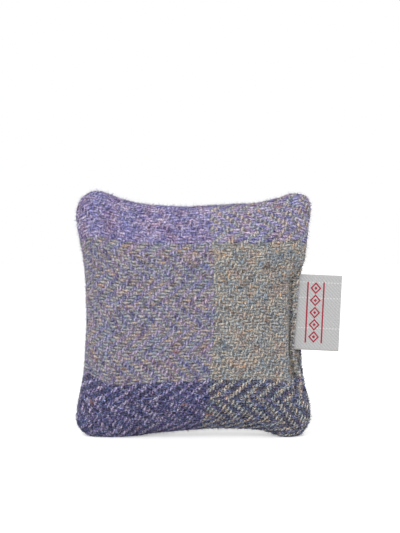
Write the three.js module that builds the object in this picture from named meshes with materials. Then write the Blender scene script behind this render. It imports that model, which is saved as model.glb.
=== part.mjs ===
// Lavender sachet: a small stuffed square of tweed that stands on its two lower corners.
// Millimetres, +Z up. The front faces -Y and the folded label leaves the right-hand seam along +X.
import * as THREE from "three";

// Cushion, measured over the outside of the sewn edge
const cushionWidth = 105;
const cushionHeight = 111;
const crownDepth = 17; // seam plane to the fullest point of one face
const settleDepth = 1.4; // how much fuller the low edge is than the middle, because the buds settle
const cornerRadius = 9;
const sideDraw = 5; // how far the left and right edges pull in between the corners
const topDraw = 6.5;
const bottomDraw = 4; // height of the lower edge's arch above the floor
const footPress = 3.2; // how far the lower corners are pressed flat by standing on them

// Tweed cover and its sewing
const tweedThickness = 1.6;
const seamAllowance = 6;
const seamInset = 4.6; // from the edge to the row of seam stitches
const creaseInset = 2.6; // from the edge to the inside of its fold
const layerGap = 0.3; // clearance between any two layers that lie together
const threadDiameter = 0.5;

// Turning gap in the right-hand seam, closed from outside by a row of top stitches
const closingLength = 55;
const closingCentre = 48.5; // height above the floor
const closingInset = 4.6; // from the edge to the row of stitches
const hemWidth = 2.2; // half the width of the hollow that the stitches pull into the cover
const hemRise = 0.9; // height of the rolled hem above the stitches
const closingRamp = 9; // length over which the pulled-in hem fades out at each end
const stitchLength = 3.2;
const stitchRise = 0.2;

// Folded label
const labelLength = 34; // along the seam
const labelReach = 18.9; // from the middle of the drawn-in edge to the fold
const labelCentre = 56.2; // height above the floor
const labelTape = 0.35;
const labelFoldGap = 0.3;
const labelTuck = 5; // how deep the two ends are caught in the seam
const labelRoot = 0.1; // from the bending line to the moving leaves

// Muslin pouch that holds the buds
const muslinThickness = 0.4;
const pouchSlack = 0.6; // how loosely the pouch lies in the cover
const fillSlack = 0.9; // how loosely the buds lie in the pouch

// Counts that set how finely the soft forms are divided
const sideSteps = 9;
const cornerSteps = 5;
const pouchStride = 2;
const threadSides = 6;
const stepsPerStitch = 4;
const foldSegments = 6;
const domeShares = [0.22, 0.44, 0.62, 0.76];

// Shape of the stuffed dome: both powers are 2 on an ellipse, and the corners are a little thinner
const domePower = 2.2;
const domeRoot = 2;
const cornerThinning = 0.08;

const threadRadius = threadDiameter / 2;
const middle = new THREE.Vector2(0, (cushionHeight - footPress) / 2);
const cornerAcross = cushionWidth / 2 - cornerRadius;
const cornerUp = (cushionHeight + footPress) / 2 - cornerRadius;

// One edge of the cushion is an arc that bows inward and is tangent to both of its corner circles.
// Edges are numbered anticlockwise from the right: right, top, left, bottom.
function edgeArc(edge) {
  const along = edge % 2 === 0 ? cornerUp : cornerAcross;
  const away = edge % 2 === 0 ? cornerAcross : cornerUp;
  const draw = [sideDraw, topDraw, sideDraw, bottomDraw + footPress][edge];
  const turn = (edge * Math.PI) / 2;
  const spread = (along * along + draw * draw) / (2 * draw);
  const beyond = away + spread - draw;
  const centre = new THREE.Vector2(Math.cos(turn), Math.sin(turn)).multiplyScalar(beyond).add(middle);
  return { turn, centre, radius: spread - cornerRadius, swing: Math.asin(along / spread) };
}

// The sewn edge seen from the front, as points that run anticlockwise from low on the right
function edgeOutline() {
  const points = [];
  const place = (centre, radius, angle) => {
    const offset = new THREE.Vector2(Math.cos(angle), Math.sin(angle)).multiplyScalar(radius);
    points.push(offset.add(centre));
  };
  for (let edge = 0; edge < 4; edge++) {
    const here = edgeArc(edge);
    const next = edgeArc((edge + 1) % 4);
    for (let i = 0; i < sideSteps; i++) {
      place(here.centre, here.radius, here.turn + Math.PI + here.swing * (1 - (2 * i) / sideSteps));
    }
    const corner = new THREE.Vector2(edge === 0 || edge === 3 ? cornerAcross : -cornerAcross, 0);
    corner.y = edge < 2 ? cornerUp : -cornerUp;
    const start = here.turn - here.swing;
    const finish = here.turn + Math.PI / 2 + next.swing;
    for (let i = 0; i < cornerSteps; i++) {
      place(corner.clone().add(middle), cornerRadius, THREE.MathUtils.lerp(start, finish, i / cornerSteps));
    }
  }
  return points;
}

// Horizontal place of the drawn-in right edge at a height above the floor
function rightEdgeAt(height) {
  const arc = edgeArc(0);
  return arc.centre.x - Math.sqrt(arc.radius ** 2 - (height - arc.centre.y) ** 2);
}

// Each spoke runs from the edge to the middle, and carries one profile of the cushion.
// closing is 1 where the turning gap is sewn shut and fades to 0 beyond its ends.
const spokes = edgeOutline().map((edge) => {
  const inward = middle.clone().sub(edge);
  const length = inward.length();
  const angle = Math.atan2(-inward.y, -inward.x);
  const past = Math.abs(edge.y - closingCentre) - closingLength / 2 - closingRamp / 2;
  const onRight = edge.x > middle.x;
  const closing = onRight ? THREE.MathUtils.clamp(1 - past / closingRamp, 0, 1) : 0;
  return { edge, inward: inward.divideScalar(length), length, angle, closing };
});

// The dome's contours follow the edge at a share of 1 and grow round towards the middle
const roundLength = spokes.reduce((sum, spoke) => sum + spoke.length, 0) / spokes.length;

function insetAt(spoke, share) {
  return spoke.length - share * THREE.MathUtils.lerp(roundLength, spoke.length, share);
}

function shareAt(spoke, inset) {
  const out = spoke.length - inset;
  const excess = spoke.length - roundLength;
  return (2 * out) / (roundLength + Math.sqrt(roundLength ** 2 + 4 * excess * out));
}

// Depth of one face in front of the seam plane, at a share of the way from the middle to the edge
function domeDepth(spoke, share) {
  const diagonal = Math.sin(2 * spoke.angle) ** 2;
  const thin = 1 - cornerThinning * diagonal * share ** 4;
  const settled = crownDepth - settleDepth * Math.sin(spoke.angle) * share;
  return settled * thin * (1 - share ** domePower) ** (1 / domeRoot);
}

// Half of the space between the two turned-in allowances: wider where they hold the label's ends
function seamHalfGap(spoke) {
  return layerGap / 2 + spoke.closing * (labelFoldGap / 2 + labelTape + layerGap / 2);
}

// Depth of the outside at the top stitches, which pull cover and allowance together
function sewnDepth(spoke) {
  return seamHalfGap(spoke) + 2 * tweedThickness + layerGap;
}

// The outside of one face along a spoke, from near the middle to just short of the edge.
// Each point is [inset from the edge, depth from the seam plane].
function outsideProfile(spoke) {
  const at = (inset) => domeDepth(spoke, shareAt(spoke, inset));
  const pulled = (inset, rise) => {
    return THREE.MathUtils.lerp(at(inset), Math.min(at(inset), sewnDepth(spoke) + rise), spoke.closing);
  };
  const dome = domeShares.map((share) => [insetAt(spoke, share), domeDepth(spoke, share)]);
  const groove = closingInset + threadDiameter;
  return [
    ...dome,
    [groove + hemWidth, at(groove + hemWidth)],
    [groove, pulled(groove, 0)],
    [groove - hemWidth, pulled(groove - hemWidth, hemRise)],
    [tweedThickness / 2, at(tweedThickness / 2)],
  ];
}

// Depth of the outside under the top stitches, on the slope between the groove and the rolled hem
function hemDepth(spoke) {
  const [ridge, groove] = outsideProfile(spoke).slice(-3, -1).reverse();
  const share = (closingInset - ridge[0]) / (groove[0] - ridge[0]);
  return THREE.MathUtils.lerp(ridge[1], groove[1], share);
}

// The same profile moved inward, square to the surface, by the thickness of the layers over it
function layerProfile(spoke, below) {
  const profile = outsideProfile(spoke);
  return profile.map(([inset, depth], i) => {
    const before = profile[Math.max(i - 1, 0)];
    const after = profile[Math.min(i + 1, profile.length - 1)];
    const run = before[0] - after[0];
    const fall = before[1] - after[1];
    const span = Math.hypot(run, fall);
    return [inset + (below * fall) / span, depth - (below * run) / span];
  });
}

// A point of the cushion on a spoke. The floor keeps the pressed feet flat.
function spokePoint(spoke, [inset, depth], face, floor) {
  const flat = spoke.edge.clone().addScaledVector(spoke.inward, inset);
  return new THREE.Vector3(flat.x, face * depth, Math.max(flat.y, floor));
}

// A closed skin over rings of equal count, between one pole at the first ring and one at the last
function skinOverRings(firstPole, rings, lastPole, face) {
  const count = rings[0].length;
  const points = [firstPole, ...rings.flat(), lastPole];
  const triangles = [];
  const add = (a, b, c) => triangles.push(...(face < 0 ? [a, b, c] : [a, c, b]));
  const last = points.length - 1;
  for (let i = 0; i < count; i++) {
    const j = (i + 1) % count;
    add(0, 1 + i, 1 + j);
    for (let ring = 0; ring + 1 < rings.length; ring++) {
      const near = 1 + ring * count;
      const far = near + count;
      add(near + i, far + i, far + j);
      add(near + i, far + j, near + j);
    }
    add(last, last - count + j, last - count + i);
  }
  const geometry = new THREE.BufferGeometry().setFromPoints(points);
  geometry.setIndex(triangles);
  geometry.computeVertexNormals();
  return geometry;
}

function poleAt(depth, face) {
  return new THREE.Vector3(middle.x, face * depth, middle.y);
}

// Over a pressed foot the edge of the allowance is pushed up clear of the cover under it
const allowanceFloor = 2 * tweedThickness;

// One tweed panel: the stuffed face, the rolled edge, the allowance turned in along the seam plane,
// and the inside of the face
function tweedPanel(face) {
  const ring = (profileAt, floor) => spokes.map((spoke) => spokePoint(spoke, profileAt(spoke), face, floor));
  const stations = outsideProfile(spokes[0]).map((_, i) => i);
  const outside = stations.map((i) => ring((spoke) => outsideProfile(spoke)[i], 0));
  const roll = (spoke, turn) => {
    const depth = seamHalfGap(spoke) + tweedThickness * (1 - Math.sin(turn));
    return [tweedThickness * (1 - Math.cos(turn)), depth];
  };
  const edge = [0, Math.PI / 4, Math.PI / 2].map((turn) => ring((spoke) => roll(spoke, turn), 0));
  const allowance = [
    ring((spoke) => [seamAllowance, seamHalfGap(spoke)], allowanceFloor),
    ring((spoke) => [seamAllowance, seamHalfGap(spoke) + tweedThickness], allowanceFloor),
    ring((spoke) => [creaseInset, seamHalfGap(spoke) + tweedThickness], tweedThickness),
  ];
  const inside = stations
    .slice(0, -1)
    .reverse()
    .map((i) => ring((spoke) => layerProfile(spoke, tweedThickness)[i], tweedThickness));
  const rings = [...outside, ...edge, ...allowance, ...inside];
  return skinOverRings(poleAt(crownDepth, face), rings, poleAt(crownDepth - tweedThickness, face), face);
}

// Where the pouch's own seam runs: just inside the turned-in allowance, with room for its thread
const pouchSeamInset = seamAllowance + pouchSlack + threadRadius;
const pouchSeamFloor = allowanceFloor + pouchSlack + threadRadius;
const pouchRimGap = threadRadius + pouchSlack;
const pouchOutside = tweedThickness + pouchSlack;
const pouchInside = pouchOutside + muslinThickness;
const fillOutside = pouchInside + fillSlack;
const pouchSpokes = spokes.filter((_, i) => i % pouchStride === 0);

// Rings of an inner layer from near the middle to its upright side wall. Only the dome and the
// shoulder of the cover reach in here, so the stations of the hem and the edge are left out.
function innerRings(face, below) {
  const shoulderStation = domeShares.length;
  const inFromSeam = pouchRimGap + below - pouchOutside;
  const floor = pouchSeamFloor + inFromSeam;
  const wallInset = pouchSeamInset + inFromSeam;
  const ring = (profileAt) => pouchSpokes.map((spoke) => spokePoint(spoke, profileAt(spoke), face, floor));
  const shoulder = (spoke) => {
    const [inset, depth] = layerProfile(spoke, below)[shoulderStation];
    return [Math.max(inset, wallInset), depth];
  };
  const dome = domeShares.map((_, i) => ring((spoke) => layerProfile(spoke, below)[i]));
  const wall = ring((spoke) => [(shoulder(spoke)[0] + wallInset) / 2, shoulder(spoke)[1] / 2]);
  const rim = ring(() => [wallInset, layerGap / 2]);
  const waist = ring(() => [wallInset, 0]);
  return { dome: [...dome, ring(shoulder), wall], rim, waist };
}

function muslinPanel(face) {
  const outside = innerRings(face, pouchOutside);
  const inside = innerRings(face, pouchInside);
  const rings = [...outside.dome, outside.rim, inside.rim, ...inside.dome.reverse()];
  const outerPole = poleAt(crownDepth - pouchOutside, face);
  return skinOverRings(outerPole, rings, poleAt(crownDepth - pouchInside, face), face);
}

// The loose buds, taken together as the one space that they fill
function lavenderHeap() {
  const front = innerRings(-1, fillOutside);
  const back = innerRings(1, fillOutside);
  const rings = [...front.dome, front.waist, ...back.dome.reverse()];
  const crown = crownDepth - fillOutside;
  return skinOverRings(poleAt(crown, -1), rings, poleAt(crown, 1), -1);
}

// A curve that is divided at its own points, so that a thread turns where the cloth beside it turns
class SewnLine extends THREE.CatmullRomCurve3 {
  getPointAt(share, target) {
    return this.getPoint(share, target);
  }

  getTangentAt(share, target) {
    return this.getTangent(share, target);
  }
}

function threadAlong(points) {
  const section = new THREE.Shape();
  for (let i = 0; i < threadSides; i++) {
    const angle = (i * 2 * Math.PI) / threadSides;
    section[i === 0 ? "moveTo" : "lineTo"](threadRadius * Math.cos(angle), threadRadius * Math.sin(angle));
  }
  const extrudePath = new SewnLine(points, false, "centripetal");
  return new THREE.ExtrudeGeometry(section, { steps: points.length - 1, extrudePath, bevelEnabled: false });
}

// The main seam's thread on one side, laid on the allowance from one end of the closing to the other
function seamThread(face) {
  const before = (i) => spokes[(i + spokes.length - 1) % spokes.length];
  const start = spokes.findIndex((spoke, i) => spoke.closing === 0 && before(i).closing > 0);
  const path = [...spokes.slice(start), ...spokes.slice(0, start)].filter((spoke) => spoke.closing === 0);
  const depth = layerGap / 2 + tweedThickness + layerGap + threadRadius;
  const floor = tweedThickness + layerGap + threadRadius;
  return threadAlong(path.map((spoke) => spokePoint(spoke, [seamInset, depth], face, floor)));
}

// The closing's thread on one side: one stitch after another along the bottom of the pulled-in hem
function closingThread(face) {
  const upright = spokes.filter((spoke) => spoke.edge.x > middle.x).sort((a, b) => a.edge.y - b.edge.y);
  const hem = upright.map((spoke) => {
    return spokePoint(spoke, [closingInset, hemDepth(spoke) + layerGap + threadDiameter], face, 0);
  });
  const steps = Math.round(closingLength / stitchLength) * stepsPerStitch;
  const points = [];
  for (let i = 0; i <= steps; i++) {
    const height = closingCentre + closingLength * (i / steps - 0.5);
    const above = hem.findIndex((point) => point.z > height);
    const [low, high] = [hem[above - 1], hem[above]];
    const point = low.clone().lerp(high, (height - low.z) / (high.z - low.z));
    point.y += face * stitchRise * Math.abs(Math.sin((i * Math.PI) / stepsPerStitch));
    points.push(point);
  }
  return threadAlong(points);
}

function pouchThread() {
  return threadAlong(spokes.map((spoke) => spokePoint(spoke, [pouchSeamInset, 0], -1, pouchSeamFloor)));
}

// The label bends about an upright line just outside the rolled edge, clear of it at a right angle
const labelHalf = labelFoldGap / 2 + labelTape;
const labelSwing = Math.hypot(labelRoot, labelHalf);
const labelTop = rightEdgeAt(labelCentre + labelLength / 2);
const labelFoot = rightEdgeAt(labelCentre - labelLength / 2);
const bendAt = Math.max(labelTop, labelFoot) + labelSwing + layerGap;
const labelTip = rightEdgeAt(labelCentre) + labelReach;

// The moving part: two leaves of tape joined by the fold at the outer end, drawn from above
function labelFlap() {
  const round = labelTip - bendAt - labelHalf;
  const inner = labelFoldGap / 2;
  const outline = new THREE.Shape();
  outline.moveTo(labelRoot, -labelHalf);
  outline.absarc(round, 0, labelHalf, -Math.PI / 2, Math.PI / 2, false);
  outline.lineTo(labelRoot, labelHalf);
  outline.lineTo(labelRoot, inner);
  outline.absarc(round, 0, inner, Math.PI / 2, -Math.PI / 2, true);
  outline.lineTo(labelRoot, -inner);
  const geometry = new THREE.ExtrudeGeometry(outline, {
    depth: labelLength,
    bevelEnabled: false,
    curveSegments: foldSegments,
  });
  return geometry.translate(0, 0, -labelLength / 2);
}

// One end of the tape, caught between the turned-in allowances
function labelEnd(face) {
  const outer = -labelSwing - layerGap;
  const inner = Math.max(labelTop, labelFoot) - labelTuck - bendAt;
  const geometry = new THREE.BoxGeometry(outer - inner, labelTape, labelLength);
  return geometry.translate((outer + inner) / 2, face * (labelFoldGap / 2 + labelTape / 2), 0);
}

function cloth(color, roughness) {
  return new THREE.MeshStandardMaterial({ color, roughness, metalness: 0 });
}

function addPiece(group, name, geometry, material) {
  const piece = new THREE.Mesh(geometry, material);
  piece.name = name;
  group.add(piece);
}

const tweedFront = cloth("#8a8496", 0.95);
const tweedBack = cloth("#6f6c82", 0.95);
const navyThread = cloth("#2b2a3c", 0.7);
const satinTape = cloth("#c8c6c4", 0.5);
const muslin = cloth("#e6dfcf", 0.9);
const driedBuds = cloth("#6f6a8f", 0.9);

const cushion = new THREE.Group();
addPiece(cushion, "front_panel", tweedPanel(-1), tweedFront);
addPiece(cushion, "back_panel", tweedPanel(1), tweedBack);
addPiece(cushion, "seam_needle_thread", seamThread(-1), navyThread.clone());
addPiece(cushion, "seam_bobbin_thread", seamThread(1), navyThread.clone());
addPiece(cushion, "closing_needle_thread", closingThread(-1), navyThread.clone());
addPiece(cushion, "closing_bobbin_thread", closingThread(1), navyThread.clone());
addPiece(cushion, "pouch_front", muslinPanel(-1), muslin.clone());
addPiece(cushion, "pouch_back", muslinPanel(1), muslin.clone());
addPiece(cushion, "pouch_seam_thread", pouchThread(), muslin.clone());
addPiece(cushion, "lavender_fill", lavenderHeap(), driedBuds);

const label = new THREE.Group();
label.position.set(bendAt, 0, labelCentre);
addPiece(label, "label_flap", labelFlap(), satinTape.clone());
addPiece(label, "label_front_end", labelEnd(-1), satinTape.clone());
addPiece(label, "label_back_end", labelEnd(1), satinTape.clone());
cushion.add(label);

// The cushion is drawn about its own middle, and the whole part about the middle of its outside box
const sachet = new THREE.Group();
sachet.add(cushion);
cushion.position.x = -new THREE.Box3().setFromObject(cushion).getCenter(new THREE.Vector3()).x;

export default sachet;
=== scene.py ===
# Lavender sachet: a stuffed square of herringbone tweed with a folded woven label in its side seam.
# Lengths are in millimetres until a mesh is made, and MM turns them to metres.
import functools
import math

import bpy
import numpy as np
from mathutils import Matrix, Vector


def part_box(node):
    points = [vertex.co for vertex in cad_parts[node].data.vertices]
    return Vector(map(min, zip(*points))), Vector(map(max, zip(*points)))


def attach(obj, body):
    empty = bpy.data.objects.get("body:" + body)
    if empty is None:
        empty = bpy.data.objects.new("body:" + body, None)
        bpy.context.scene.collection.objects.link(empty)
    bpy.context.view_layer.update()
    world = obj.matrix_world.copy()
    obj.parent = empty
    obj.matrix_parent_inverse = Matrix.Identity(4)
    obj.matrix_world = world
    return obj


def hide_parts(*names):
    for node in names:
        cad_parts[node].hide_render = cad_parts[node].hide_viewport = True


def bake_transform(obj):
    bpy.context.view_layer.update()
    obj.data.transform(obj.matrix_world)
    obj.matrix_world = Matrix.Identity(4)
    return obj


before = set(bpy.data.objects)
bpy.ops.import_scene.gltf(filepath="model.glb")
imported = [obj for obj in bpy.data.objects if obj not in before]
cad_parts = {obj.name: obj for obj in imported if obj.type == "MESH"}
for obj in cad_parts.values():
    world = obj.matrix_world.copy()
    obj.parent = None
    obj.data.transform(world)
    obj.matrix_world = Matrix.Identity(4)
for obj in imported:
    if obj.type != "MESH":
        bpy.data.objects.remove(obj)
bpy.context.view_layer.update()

MM = 0.001
RANDOM = np.random.default_rng(20)

# The tweed as it was cut, counted in yarns: columns run up the cushion and rows run across it
CUT_WIDTH = 108.8
CUT_HEIGHT = 112.6
COLUMNS = 68
ROWS = 84
CUT_CORNER = 10.0
CORNER_FADE = 0.55  # how fast the corners' radius shrinks towards the middle
CORNER_LEAST = 1e-6
CORNER_REACH = 1.7  # how far along the edges their rounding spreads, in radii
SUBDIVISIONS = 2  # which give four mesh cells to a yarn

# The check: yarn numbers where the colours change
COLUMN_CHANGE = 39
INDIGO_ROWS = 22
PURPLE_ROW = 67
TWILL_ROWS = 8  # the twill turns back after this many rows
TWILL_START = 7
BACK_SHIFT = (9, -12)  # the back is cut from another place in the check

# The squares are cut a little off the grain: a yarn number and how many yarns the others are off there
COLUMNS_OFF = ((0, 2.2), (9, 1.9), (20, 0.4), (29, -0.7), (44, -1.35), (58, -0.95), (74, 0.15), (84, 0.4))
ROWS_OFF = ((0, -0.4), (10, -0.55), (20, -1.15), (31, -0.8), (46, -0.15), (56, -0.5), (68, -0.5))

# The finished edge seen from the front, about the cushion's upright middle line, anticlockwise from the
# label. The lower corners reach below the floor, and are pressed flat on it later.
SEWN_EDGE = [
    (49.3, 56.2), (49.5, 75.0), (50.4, 81.0), (51.2, 87.3), (52.1, 95.0), (53.1, 101.5),
    (52.7, 105.6), (50.8, 108.4), (47.4, 109.6), (44.0, 109.6), (39.2, 108.1), (33.8, 106.6),
    (27.5, 105.3), (18.0, 104.9), (8.0, 104.4), (-3.0, 103.7), (-15.5, 104.4), (-22.0, 104.9),
    (-27.7, 106.1), (-33.2, 107.7), (-38.3, 109.8), (-43.2, 111.0), (-46.6, 110.0), (-49.2, 108.2),
    (-51.4, 105.4), (-52.5, 101.5), (-52.4, 96.0), (-51.0, 88.7), (-48.9, 75.2), (-48.1, 54.0),
    (-48.5, 44.0), (-49.5, 29.0), (-51.3, 19.8), (-52.6, 12.5), (-53.0, 7.2), (-51.4, 3.6),
    (-48.4, 0.6), (-44.5, -2.2), (-38.5, -3.0), (-32.0, -2.6), (-25.5, -0.5), (-19.4, 0.9),
    (-9.0, 2.0), (7.0, 3.3), (18.0, 3.3), (27.0, 3.0), (33.0, 2.0), (37.0, 0.4),
    (42.0, -2.2), (46.4, -1.6), (49.8, 1.6), (52.6, 6.2), (53.1, 11.5), (52.1, 18.0),
    (50.6, 27.0), (49.5, 38.0),
]
EDGE_STEPS = 40  # points to each stretch of the edge
EDGE_MIDDLE = 53.9

# The stuffed dome before it swells, as the solids have it
CROWN = 17.0
SETTLE = 1.4  # how much fuller the low edge is, where the buds settle
DOME_POWER = 2.2  # 2 on an ellipse
ARCH_SAMPLES = 2001
CORNER_THINNING = 0.08

# The closing: a row of stitches pulls the cover in beside the right-hand edge and leaves a rolled hem
CLOSING_CENTRE = 48.5
CLOSING_LENGTH = 55.0
CLOSING_RAMP = 7.0
HEM_COLUMNS = 3
GROOVE = COLUMNS - HEM_COLUMNS  # the column that the stitches hold
HEM_INSETS = (6.5, 4.9, 3.0, 0.0)  # from the edge to the stitches and to each column of yarn outside them
HEM_DEPTHS = (0.1, 0.8, 2.6, 0.0)  # of each of them off the seam plane
WALL_STEEPNESS = 0.8  # how far the stuffed face is pushed towards the stitches
WALL_REACH = 3.6
WALL_OVERHANG = 0.2
OVERHANG_WIDTH = 1.5
FRONT_SHORT = ((27.0, 0.3), (39.0, 3.4), (74.0, 0.6))  # by height, how much more the front's hem turns in

# The label's bend line and size, and the cushion's middle, come from their solids
LABEL_LOW, LABEL_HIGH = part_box("label_flap")
LABEL_END_LOW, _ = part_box("label_front_end")
PANEL_LOW, PANEL_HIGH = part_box("front_panel")
MIDDLE_X = (PANEL_LOW.x + PANEL_HIGH.x) / 2 / MM  # the cushion's upright middle line


def select_only(piece):
    bpy.ops.object.select_all(action="DESELECT")
    piece.select_set(True)
    bpy.context.view_layer.objects.active = piece


def apply_modifier(piece, kind, **settings):
    """Adds a modifier with its settings and applies it."""
    select_only(piece)
    modifier = piece.modifiers.new(kind.title(), kind)
    for name, value in settings.items():
        setattr(modifier, name, value)
    bpy.ops.object.modifier_apply(modifier=modifier.name)


def corners_of(mesh):
    """The vertex number at each corner of each face."""
    corners = np.empty(len(mesh.loops), np.int32)
    mesh.loops.foreach_get("vertex_index", corners)
    return corners


def values_of(items, name, width):
    """One row of values for each item of a mesh."""
    values = np.empty(len(items) * width, np.float32)
    items.foreach_get(name, values)
    return values.reshape(-1, width).astype(float)


def points_of(piece):
    return values_of(piece.data.vertices, "co", 3)


def normals_of(piece):
    return values_of(piece.data.vertex_normals, "vector", 3)


def places_of(piece, label):
    """One UV place for each vertex."""
    places = np.zeros((len(piece.data.vertices), 2))
    places[corners_of(piece.data)] = values_of(piece.data.uv_layers[label].data, "uv", 2)
    return places


def set_places(piece, label, places):
    layer = piece.data.uv_layers[label].data
    layer.foreach_set("uv", np.asarray(places, np.float32)[corners_of(piece.data)].ravel())


def set_points(piece, points):
    piece.data.vertices.foreach_set("co", points.astype(np.float32).ravel())
    piece.data.update()


def mesh_piece(name, points, faces, maps=None):
    """A smooth mesh object from points in metres, with a UV map for each array of one place per point."""
    mesh = bpy.data.meshes.new(name)
    mesh.from_pydata(points.tolist(), [], [list(face) for face in faces])
    mesh.polygons.foreach_set("use_smooth", np.ones(len(mesh.polygons), bool))
    mesh.update()
    piece = bpy.data.objects.new(name, mesh)
    bpy.context.collection.objects.link(piece)
    for label, places in (maps or {}).items():
        mesh.uv_layers.new(name=label)
        set_places(piece, label, places)
    return piece


def grid_squares(rows, columns):
    """Faces of a grid of squares, row by row."""
    first = (np.arange(rows)[:, None] * (columns + 1) + np.arange(columns)).ravel()
    return np.c_[first, first + 1, first + columns + 2, first + columns + 1]


def joined_squares(rows, columns):
    """Faces of a front and a back grid of squares that share their border, the numbers of the points inside
    that border, and the back's point for each of the front's."""
    border = np.ones((rows + 1, columns + 1), bool)
    border[1:-1, 1:-1] = False
    inner = np.flatnonzero(~border)
    back_of = np.arange(border.size)
    back_of[inner] = border.size + np.arange(len(inner))
    squares = grid_squares(rows, columns)
    return np.vstack([squares, back_of[squares][:, ::-1]]), inner, back_of


def unit(ways):
    """The same directions with a length of 1."""
    return ways / np.linalg.norm(ways, axis=1, keepdims=True)


def spokes_about(axes, others, sides):
    """A way across each axis, and the ways out from it to each side of a tube."""
    across = unit(np.cross(axes, others))
    turns = (np.arange(sides) * 2 * math.pi / sides)[:, None, None]
    return across, np.cos(turns) * across + np.sin(turns) * np.cross(axes, across)


def tubes(name, points, maps=None):
    """A piece made of closed tubes, from points by tube, ring and side."""
    count, rings, sides = points.shape[:3]
    number = np.arange(rings * sides).reshape(rings, sides)
    onward = np.roll(number, -1, axis=1)
    walls = np.stack([number[:-1], onward[:-1], onward[1:], number[1:]], axis=-1).reshape(-1, 4)
    first = np.arange(count)[:, None] * number.size
    faces = (first[:, None] + walls).reshape(-1, 4).tolist()
    faces += (first + number[-1]).tolist() + (first + number[0, ::-1]).tolist()
    return mesh_piece(name, points.reshape(-1, 3) * MM, faces, maps)


# Cushion cover: the cut, the sewn edge and the stuffing


def closed_curve(points):
    """A smooth closed line through the points."""
    points = np.array(points)
    share = np.linspace(0, 1, EDGE_STEPS, endpoint=False)[:, None]
    before, after, beyond = (np.roll(points, -turn, axis=0) for turn in (-1, 1, 2))
    stretches = []
    for a, b, c, d in zip(before, points, after, beyond):
        cubic = (3 * b - 3 * c + d - a) * share**3
        square = (2 * a - 5 * b + 4 * c - d) * share**2
        stretches.append((cubic + square + (c - a) * share + 2 * b) / 2)
    return np.vstack(stretches)


def cut_places():
    """Where each crossing of the mesh lies in the flat cut, with the corners rounded off."""
    x, z = np.meshgrid(
        np.linspace(-CUT_WIDTH / 2, CUT_WIDTH / 2, COLUMNS + 1),
        np.linspace(-CUT_HEIGHT / 2, CUT_HEIGHT / 2, ROWS + 1),
    )
    from_side = CUT_WIDTH / 2 - np.abs(x)
    from_end = CUT_HEIGHT / 2 - np.abs(z)
    inset = np.minimum(from_side, from_end)
    from_corner = np.maximum(from_side, from_end) - inset
    radius = np.maximum(CUT_CORNER - CORNER_FADE * inset, CORNER_LEAST)
    arc = radius * math.pi / 4
    reach = CORNER_REACH * radius
    run = np.clip(from_corner / reach, 0, 1) * (arc + reach - radius)
    angle = np.maximum(math.pi / 4 * (1 - run / arc), 0)
    along = np.where(run < arc, radius - radius * np.sin(angle), radius + run - arc)
    away = np.where(run < arc, radius - radius * np.cos(angle), 0)
    upright = from_side <= from_end
    new_side = np.where(upright, inset + away, inset + along)
    new_end = np.where(upright, inset + along, inset + away)
    near = from_corner < reach
    x = np.where(near, np.sign(x) * (CUT_WIDTH / 2 - new_side), x)
    z = np.where(near, np.sign(z) * (CUT_HEIGHT / 2 - new_end), z)
    return x, z


def run_along(line):
    """How far along a line each of its points lies."""
    return np.r_[0, np.cumsum(np.hypot.reduce(np.diff(line, axis=0), axis=1))]


def run_share(line):
    """The same as a share of the whole line."""
    run = run_along(line)
    return run / run[-1]


def at_share(line, share):
    """Points of a line at shares of its length."""
    own = run_share(line)
    return np.stack([np.interp(share, own, line[:, 0]), np.interp(share, own, line[:, 1])], axis=-1)


def dome(place):
    """Height of the stuffed dome's section, from 1 in its middle to 0 at -1 and 1."""
    return np.sqrt(1 - np.abs(place) ** DOME_POWER)


def arch(steps, rise):
    """Places across a span of 1 that are evenly spaced along the stuffed dome over it."""
    angle = np.linspace(-math.pi / 2, math.pi / 2, ARCH_SAMPLES)
    across = np.sin(angle)
    height = rise * dome(across)
    run = run_along(np.c_[across / 2, height])
    return np.interp(np.linspace(0, run[-1], steps + 1), run, across) / 2 + 0.5


def closing_share(height):
    """1 where the closing is sewn, falling to 0 past its ends."""
    past_end = np.abs(height - CLOSING_CENTRE) - CLOSING_LENGTH / 2
    share = np.clip(0.5 - past_end / CLOSING_RAMP, 0, 1)
    return share * share * (3 - 2 * share)


def dome_depth(plan, edge):
    """Depth of one stuffed face over points of the seam plane, which falls to nothing at the edge."""
    rim = edge - (0, EDGE_MIDDLE)
    rim_angle = np.arctan2(rim[:, 1], rim[:, 0])
    out = plan - (0, EDGE_MIDDLE)
    angle = np.arctan2(out[..., 1], out[..., 0])
    reach = np.interp(angle, rim_angle, np.hypot(*rim.T), period=2 * math.pi)
    mean = np.hypot(*rim.T).mean()
    distance = np.hypot(out[..., 0], out[..., 1])
    share = 2 * distance / (mean + np.sqrt(np.maximum(mean**2 + 4 * (reach - mean) * distance, 0)))
    share = np.minimum(share, 1)
    thin = 1 - CORNER_THINNING * np.sin(2 * angle) ** 2 * share**4
    settled = CROWN - SETTLE * np.sin(angle) * share
    return settled * thin * dome(share)


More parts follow.
